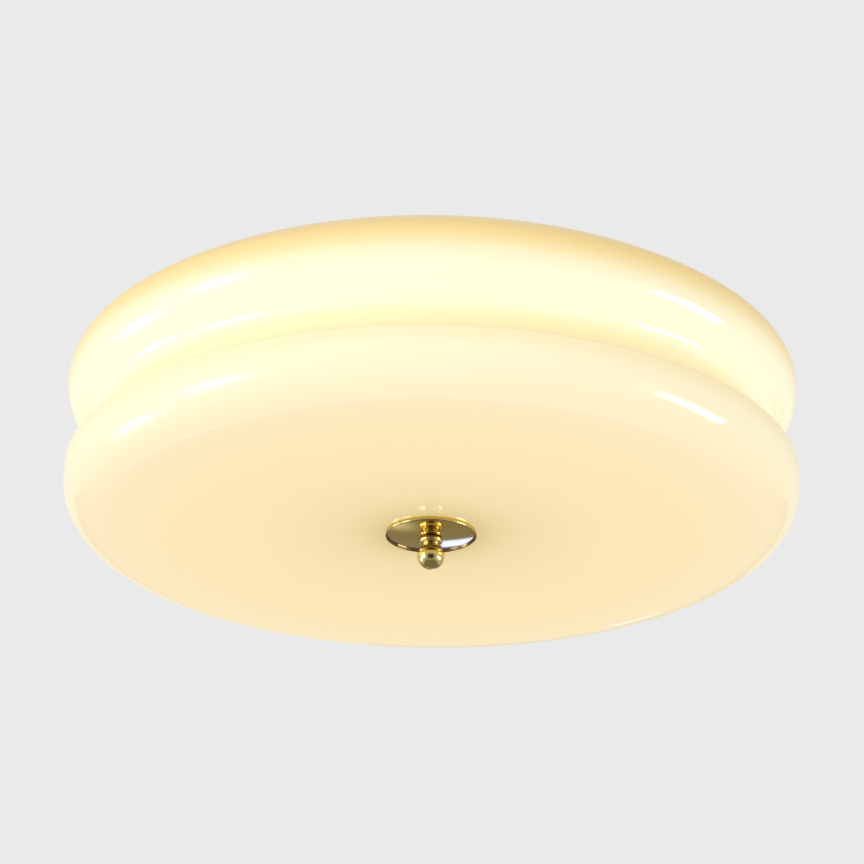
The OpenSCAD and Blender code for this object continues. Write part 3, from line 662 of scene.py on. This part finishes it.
def glassSection(low, high):
    s = glassSize
    outer, floor = high.x / mm, low.z / mm
    baseX, topX, waistX = outer - s["lowerBase"], outer - s["lowerTop"], outer - s["waistIn"] + s["waistFillet"]
    lowerTop = floor + s["lowerHigh"]
    lowerWaist = lowerTop + s["waistFillet"]
    # the waist's upper fillet runs into the upper tier without a corner
    upperTurn = math.acos(1 - s["waistIn"] / (s["upperBase"] + s["waistFillet"]))
    upperWaist = -s["upperMid"] - (s["upperBase"] + s["waistFillet"]) * math.sin(upperTurn)
    upperTurn = math.degrees(upperTurn)
    # the crown is one wide arc that the edge's own arc runs into
    run = s["crownReach"] - s["crownEdge"]
    drop = s["crownHigh"]
    crownR = s["crownEdge"] + (run ** 2 + (drop - s["crownEdge"]) ** 2) / (2 * (drop - s["crownEdge"]))
    edgeX = outer - s["crownEdge"]
    crownX, crownZ = outer - s["crownReach"], drop - s["upperMid"] - crownR
    crownTurn = math.degrees(math.atan2(-s["upperMid"] - crownZ, edgeX - crownX))
    # the rolled edge of the opening
    lipR = s["wall"] / 2
    lipTurn = math.degrees(math.acos((s["opening"] + lipR - crownX) / (crownR - lipR)))
    lipX = crownX + (crownR - lipR) * math.cos(math.radians(lipTurn))
    lipZ = crownZ + (crownR - lipR) * math.sin(math.radians(lipTurn))
    walk = [  # centre, turn and steps of each arc, or the end of a line
        (baseX, floor + s["lowerBase"], 90, 24), (outer, lowerTop - s["lowerTop"]),
        (topX, lowerTop - s["lowerTop"], 90, 14), (waistX, lowerWaist, -90, 20),
        (waistX - s["waistFillet"], upperWaist), (waistX, upperWaist, -upperTurn, 16),
        (outer - s["upperBase"], -s["upperMid"], upperTurn, 20), (edgeX, -s["upperMid"], crownTurn, 18),
        (crownX, crownZ, lipTurn - crownTurn, 22)]
    section = Section(s["hole"], floor).line(baseX, floor, cuts=30)
    for step in walk:
        section = section.line(*step) if len(step) == 2 else section.arc(*step)
    section.arc(lipX, lipZ, 180, 12)
    for step in reversed(walk):  # the same way back on the inside, a wall's thickness in
        if len(step) == 4:
            section.arc(step[0], step[1], -step[2], step[3])
        elif step[1] == upperWaist:
            section.line(step[0] - s["wall"], lowerWaist)
        else:
            section.line(step[0] - s["wall"], floor + s["lowerBase"])
    section.line(s["hole"], floor + s["wall"], cuts=12).line(s["hole"], floor)
    return section


glassPiece = piece("glassShade", glassSection(*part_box("glass_shade")).turned(glassSize["rounds"]), milkGlass,
                   "shade", "glass_shade", crease=glassSize["crease"])
print("glass made:", len(glassPiece.data.polygons), "faces")


# The finial: dish, collar and ball.
finialSize = {
    "roof": -115.2,          # upper face, under the soft ring
    "padRadius": 18.3,
    "underGlass": 0.15,      # gap between the rim and the glass
    "corner": 0.15,          # upper corner of the rim
    "bead": 0.45,            # half the thickness of the rim's lip
    "lipZ": -116.5,
    "groove": 0.98,          # outer face to the corner between lip and dome
    "grooveZ": -115.45,
    "domeZ": -117.55,        # lowest ring of the dome, round the rod
    "rodRadius": 3.3,
    "collarZ": -117.6,
    "collarHigh": 3.2,
    "collarRadius": 6.4,
    "collarBore": 3.1,
    "neckZ": -120.8,
    "neckRadius": 4.7,
    "neckCorner": 0.3,
    "neckFoot": 0.35,        # straight length between neck and ball
    "ballZ": -127.8,
    "ballRadius": 7.5,
    "ballBore": 3.05,
    "boreEnd": -131.6,
    "crease": 40,
}


def makeDish():
    # a shallow dome that bulges towards the floor, inside a low rounded lip
    s = finialSize
    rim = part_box("finial_dish")[1].x / mm
    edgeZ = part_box("glass_shade")[0].z / mm - s["underGlass"]
    grooveX, rodX, bead = rim - s["groove"], s["rodRadius"], s["bead"]
    fall = s["grooveZ"] - s["domeZ"]
    domeR = (grooveX ** 2 - rodX ** 2 + fall ** 2) / (2 * fall)
    domeR = math.sqrt(domeR ** 2 + rodX ** 2)
    turn = math.degrees(math.asin(grooveX / domeR) - math.asin(rodX / domeR))
    section = Section(rodX, s["roof"]).line(s["padRadius"], s["roof"], cuts=6).line(s["padRadius"], edgeZ)
    section.line(rim - s["corner"], edgeZ).arc(rim - s["corner"], edgeZ - s["corner"], -90, 4)
    section.line(rim, s["lipZ"] + bead).arc(rim - bead, s["lipZ"] + bead, -180, 16).line(grooveX, s["grooveZ"])
    section.arc(0, s["domeZ"] + math.sqrt(domeR ** 2 - rodX ** 2), -turn, 40).line(rodX, s["roof"])
    return section.turned(128)


def makeCollar():
    s = finialSize
    bore, bead = s["collarBore"], s["collarHigh"] / 2
    beadX = s["collarRadius"] - bead
    section = Section(bore, s["neckZ"]).line(beadX, s["neckZ"]).arc(beadX, s["neckZ"] + bead, 180, 20)
    return section.line(bore, s["collarZ"]).line(bore, s["neckZ"]).turned(72)


def makeBall():
    s = finialSize
    bore, corner = s["ballBore"], s["neckCorner"]
    turn = math.degrees(math.asin(s["neckRadius"] / s["ballRadius"]))
    neckEnd = s["ballZ"] + s["ballRadius"] * math.cos(math.radians(turn))
    section = Section(0, s["ballZ"] - s["ballRadius"]).arc(0, s["ballZ"], 180 - turn, 40)
    section.line(s["neckRadius"], neckEnd + s["neckFoot"])
    section.line(s["neckRadius"], s["neckZ"] - corner).arc(s["neckRadius"] - corner, s["neckZ"] - corner, 90, 4)
    return section.line(bore, s["neckZ"]).line(bore, s["boreEnd"]).line(0, s["boreEnd"]).turned(96)


piece("finialDish", makeDish(), dishBrass, "shade", "finial_dish", crease=finialSize["crease"])
piece("finialCollar", makeCollar(), polishedBrass, "finial", "finial_collar", crease=finialSize["crease"])
piece("finialBall", makeBall(), polishedBrass, "finial", "finial_ball", crease=finialSize["crease"])
print("finial made")


# The pieces whose solids are right as they are: finish, body, and how much their edges are eased.
plainSolids = [
    ("gasket_upper", siliconeRubber, "shade", 0.2), ("gasket_lower", siliconeRubber, "shade", 0.1),
    ("mounting_strap", zincSteel, "base", 0.35), ("stud_nuts", zincSteel, "base", 0.25),
    ("base_pan", powderCoat, "base", 0.3), ("pan_nuts", plainBrass, "base", 0.2),
    ("rim_buffers", siliconeRubber, "base", 0.5), ("rod_nuts", zincSteel, "base", 0.35),
    ("rod_washers", zincSteel, "base", 0.2), ("stop_nut", zincSteel, "base", 0.35),
    ("stop_washer", zincSteel, "base", 0.2), ("holder_bracket", zincSteel, "base", 0.25),
    ("bracket_nuts", zincSteel, "base", 0.25), ("lead_bushings", glazedPorcelain, "base", 0.2),
    ("nipple_nuts", plainBrass, "base", 0.25), ("terminal_block", blockPlastic, "base", 0.3),
    ("terminal_screws", plainBrass, "base", 0.12), ("earth_washer", plainBrass, "base", 0.15),
]
for number in (1, 2, 3):
    plainSolids += [(f"lampholder_{number}", glazedPorcelain, "base", 0.3),
                    (f"holder_contact_{number}", plainBrass, "base", 0.15)]
for node, finish, body, ease in plainSolids:
    dressed(node, finish, body, ease)
print("plain solids dressed:", len(plainSolids))


# Screws and the rod, with real threads.
lampAngles = (90, 210, 330)      # the lamps point these ways, and the bracket's screws stand between them
threadCrease = 25
screwSize = {
    "shank": 4.0,
    "pitch": 0.7,
    "depth": 0.35,
    "headRadius": 4.0,
    "headHigh": 2.5,
    "headCorner": 0.2,
    "headSide": 0.55,        # share of the head's height below its dome
    "crossArm": 2.1,         # half the length of the cross recess
    "crossWide": 0.75,
    "crossDeep": 1.3,
    "studOut": 42,           # rod to each stud
    "bracketOut": 27,
    "bracketTurn": 60,       # degrees from a lamp back to the screw beside it
    "earthX": -24,
}
rodSize = {"thick": 6.0, "pitch": 1.0, "depth": 0.45, "steps": 24}
blockScrew = {"thick": 2.6, "pitch": 0.9, "depth": 0.4, "headRadius": 2.3, "headHigh": 1.6, "out": 5}


def threaded(diameter, pitch, depth, low, high, steps=20):
    root, crest = diameter / 2 - depth, diameter / 2
    start = low - pitch
    section = Section(root, start).line(root, start + pitch * 0.12).line(crest, start + pitch * 0.44)
    section.line(crest, start + pitch * 0.56).line(root, start + pitch * 0.88).line(root, start + pitch)
    return section.screwed(pitch, low, high, steps)


def box(x, y, z, width, depth, height):
    bm = bmesh.new()
    bmesh.ops.create_cube(bm, size=1)
    return moved(bm, shifted(x, y, z), Matrix.Diagonal((width * mm, depth * mm, height * mm, 1)))


def crossHead(radius, high):
    # a domed head standing on the origin, with a cross cut into it
    s = screwSize
    side, corner = high * s["headSide"], s["headCorner"]
    section = Section(0, 0).line(radius - corner, 0).arc(radius - corner, corner, 90, 3).line(radius, side)
    rise = high - side
    domeR = (radius ** 2 + rise ** 2) / (2 * rise)
    section.arc(0, high - domeR, math.degrees(math.asin(radius / domeR)), 8)
    share = radius / s["headRadius"]
    arm, wide, deep = (s[name] * share for name in ("crossArm", "crossWide", "crossDeep"))
    slotted = carved(section.turned(32), box(0, 0, high, 2 * arm, wide, 2 * deep))
    return carved(slotted, box(0, 0, high, wide, 2 * arm, 2 * deep))


def screw(length):
    s = screwSize
    return joined(crossHead(s["headRadius"], s["headHigh"]),
                  threaded(s["shank"], s["pitch"], s["depth"], -length, 0.0))


def makeRod():
    s = rodSize
    low, high = (corner.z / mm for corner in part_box("centre_rod"))
    rod = threaded(s["thick"], s["pitch"], s["depth"], low, high, s["steps"])
    piece("centreRod", rod, zincSteel, "base", "centre_rod", crease=threadCrease)


def makeScrews():
    # each is placed by the underside of its head, and the bracket's point upwards
    s = screwSize
    head = s["headHigh"]
    low, high = (corner.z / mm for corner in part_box("strap_studs"))
    studs = [moved(screw(high - head - low), shifted(side * s["studOut"], 0, high - head)) for side in (-1, 1)]
    piece("strapStuds", joined(*studs), zincSteel, "base", "strap_studs", crease=threadCrease)
    low, high = (corner.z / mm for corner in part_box("bracket_screws"))
    flip = Matrix.Rotation(math.pi, 4, "X")
    screws = [moved(screw(high - low - head), around(s["bracketOut"], angle - s["bracketTurn"], low + head), flip)
              for angle in lampAngles]
    piece("bracketScrews", joined(*screws), zincSteel, "base", "bracket_screws", crease=threadCrease)
    low, high = (corner.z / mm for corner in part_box("earth_screw"))
    earth = moved(screw(high - low - head), shifted(s["earthX"], 0, high - head))
    piece("earthScrew", earth, plainBrass, "base", "earth_screw", crease=threadCrease)


def makeBlockScrews():
    s = blockScrew
    low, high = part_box("block_screws")
    head, middle = s["headHigh"], (low.y + high.y) / 2 / mm
    low, high = low.z / mm, high.z / mm
    screws = []
    for side in (-1, 1):
        shank = threaded(s["thick"], s["pitch"], s["depth"], low - high + head, 0.0)
        screws.append(moved(joined(crossHead(s["headRadius"], head), shank),
                            shifted(side * s["out"], middle, high - head)))
    piece("blockScrews", joined(*screws), zincSteel, "base", "block_screws", crease=threadCrease)


makeRod()
makeScrews()
makeBlockScrews()
print("fasteners made")


# Holders, bulbs and leads. A lamp's own axis points outward at its angle, and starts at the outer face of its tab.
lampSize = {
    "tab": 21.5,             # rod axis to the outer face of a tab
    "axisZ": -60,
    "socketZ": 13,
    "holderLong": 40,
    "shellR": 14.3,
    "shellWall": 0.35,
    "shellShort": 3,         # from the shell's end to the holder's
    "footHigh": 0.6,
    "footIn": 0.3,
    "capStart": 15.9,
    "capR": 13.1,
    "capLong": 26,
    "solderR": 2.6,          # flat end of the solder point
    "solderCorner": 1.0,
    "solderHigh": 1.4,
    "coneFoot": (4.4, 1.6),  # radius and height at which the insulator's cone starts
    "coneIn": 2.6,           # from the cap's radius in to the cone's upper end
    "coneHigh": 4.4,
    "coneCorner": 1.8,
    "capThread": (6.6, 22.5),    # from the solder point to both ends of the thread
    "capPitch": 3.63,
    "collarIn": (0.7, 0.1),  # how far the plain collar stands back at its foot and above
    "collarFoot": 0.9,
    "roll": 0.9,             # radius of the rolled thread's crest
    "rollFlat": 1.2,         # length of the crest
    "rollTurn": 66,
    "rollSteps": 48,
    "bulbLong": 103,
    "bodyOut": 0.9,          # how far the housing's foot stands out from the cap
    "bodyCorner": 0.4,
    "bodyGroove": (1.6, 1.9, 2.5, 3),    # heights of the groove's four edges above the foot
    "grooveDeep": 0.5,
    "flare": (0.62, 0.38),   # how straight and how curved the housing's wall is
    "flareSteps": 24,
    "domeR": 30,
    "domeWall": 1.4,
    "seat": 0.45,            # where the housing ends, as a share of the dome's radius
    "nippleR": 5,
    "nippleBore": 3.2,
    "nippleEnds": (-6.5, 6.0),
    "nipplePitch": 1.0,
    "nippleDepth": 0.45,
    "rounding": 2,           # subdivisions of the leads
    "leadCrease": 80,
}


def alongLamp(angle):
    s = lampSize
    return around(s["tab"], angle, s["axisZ"]) @ Matrix.Rotation(math.pi / 2, 4, "Y")


def rolledThread(radius, start):
    # one pitch of a rolled thread: up over the crest, and down to the root
    s = lampSize
    root, crestEnd = radius - s["roll"], start + s["roll"] + s["rollFlat"]
    wave = Section(root, start).arc(root, start + s["roll"], 90, 4).line(radius, crestEnd)
    return wave.arc(root, crestEnd, s["rollTurn"], 4).line(root, start + s["capPitch"])


def makeCap():
    # solder point, the insulator's cone, the rolled thread and the plain collar
    s = lampSize
    start, radius = s["capStart"], s["capR"]
    threadLow, threadHigh = (start + reach for reach in s["capThread"])
    solder, corner = s["solderR"], s["solderCorner"]
    footR, footHigh = s["coneFoot"]
    coneR, coneTop = radius - s["coneIn"], start + s["coneHigh"]
    tip = Section(0, start).line(solder, start).arc(solder, start + corner, 90, 5)
    tip.line(solder + corner, start + s["solderHigh"]).line(footR, start + footHigh).line(coneR, coneTop)
    tip.arc(coneR, coneTop + s["coneCorner"], 62, 6).line(radius - 0.5, threadLow).line(0, threadLow)
    thread = rolledThread(radius, start).screwed(s["capPitch"], threadLow, threadHigh, s["rollSteps"])
    collarFootR, collarR = (radius - inwards for inwards in s["collarIn"])
    collar = Section(0, threadHigh).line(collarFootR, threadHigh).line(collarR, threadHigh + s["collarFoot"])
    collar.line(collarR, start + s["capLong"]).line(0, start + s["capLong"])
    return joined(tip.turned(64), thread, collar.turned(64))


def makeHousing():
    # a foot with a groove, and a wall that widens up to the dome
    s = lampSize
    foot, footR, corner = s["capStart"] + s["capLong"], s["capR"] + s["bodyOut"], s["bodyCorner"]
    domeZ = s["capStart"] + s["bulbLong"] - s["domeR"]
    end, endR = domeZ - s["domeR"] * s["seat"], s["domeR"] * math.sqrt(1 - s["seat"] ** 2)
    edges = [foot + high for high in s["bodyGroove"]]
    inR = footR - s["grooveDeep"]
    section = Section(0, foot).line(footR - corner, foot).arc(footR - corner, foot + corner, 90, 4)
    section.line(footR, edges[0]).line(inR, edges[1]).line(inR, edges[2]).line(footR, edges[3])
    straight, curved = s["flare"]
    for step in range(1, s["flareSteps"] + 1):
        share = step / s["flareSteps"]
        wider = (endR - footR) * (straight * share + curved * share ** 2)
        section.line(footR + wider, edges[3] + (end - edges[3]) * share)
    return section.line(0, end).turned(96)


def makeDome():
    s = lampSize
    radius, wall = s["domeR"], s["domeWall"]
    domeZ = s["capStart"] + s["bulbLong"] - radius
    seat = radius * s["seat"]
    seatR, seatZ = (radius ** 2 - seat ** 2) ** 0.5, domeZ - seat
    outTurn = 90 + math.degrees(math.asin(s["seat"]))
    inTurn = 90 + math.degrees(math.asin(seat / (radius - wall)))
    section = Section(seatR, seatZ).arc(0, domeZ, outTurn, 40).line(0, domeZ + radius - wall)
    return section.arc(0, domeZ, -inTurn, 36).line(seatR, seatZ).turned(96)


def makeShell():
    # rolled brass thread of the socket, with its turned-in foot
    s = lampSize
    low, high, radius = s["socketZ"], s["holderLong"] - s["shellShort"], s["shellR"]
    footTop, footR = low + s["footHigh"], radius - s["footIn"]
    wave = rolledThread(radius, low - s["capPitch"])
    wall = wave.screwed(s["capPitch"], footTop, high, s["rollSteps"], fill=False)
    bmesh.ops.solidify(wall, geom=wall.faces[:], thickness=s["shellWall"] * mm)
    foot = Section(radius / 2, low).line(footR, low).line(footR, footTop).line(radius / 2, footTop)
    return joined(wall, foot.line(radius / 2, low).turned(64))


def makeNipple():
    s = lampSize
    low, high = s["nippleEnds"]
    bore = Section(s["nippleBore"], low - 1).line(s["nippleBore"], high + 1).line(0, high + 1).line(0, low - 1)
    bore = bore.line(s["nippleBore"], low - 1).turned(32)
    return carved(threaded(2 * s["nippleR"], s["nipplePitch"], s["nippleDepth"], low, high, 32), bore)


nipples = []
for number, angle in enumerate(lampAngles, 1):
    lamp, along = f"bulb_{number}", alongLamp(angle)
    piece(f"bulbCap{number}", moved(makeCap(), along), nickelPlate, lamp, f"bulb_cap_{number}")
    piece(f"bulbBody{number}", moved(makeHousing(), along), housingPlastic, lamp, f"bulb_body_{number}")
    piece(f"bulbGlobe{number}", moved(makeDome(), along), opalDome, lamp, f"bulb_globe_{number}")
    piece(f"holderShell{number}", moved(makeShell(), along), plainBrass, "base", f"holder_shell_{number}")
    nipples.append(moved(makeNipple(), along))
    lead = dressed(f"lead_{number}", leadSleeve, "base", 0, crease=lampSize["leadCrease"])
    rounding = lead.modifiers.new("rounding", "SUBSURF")
    rounding.levels = rounding.render_levels = lampSize["rounding"]
piece("holderNipples", joined(*nipples), plainBrass, "base", "holder_nipples", crease=threadCrease)
print("lamps made")
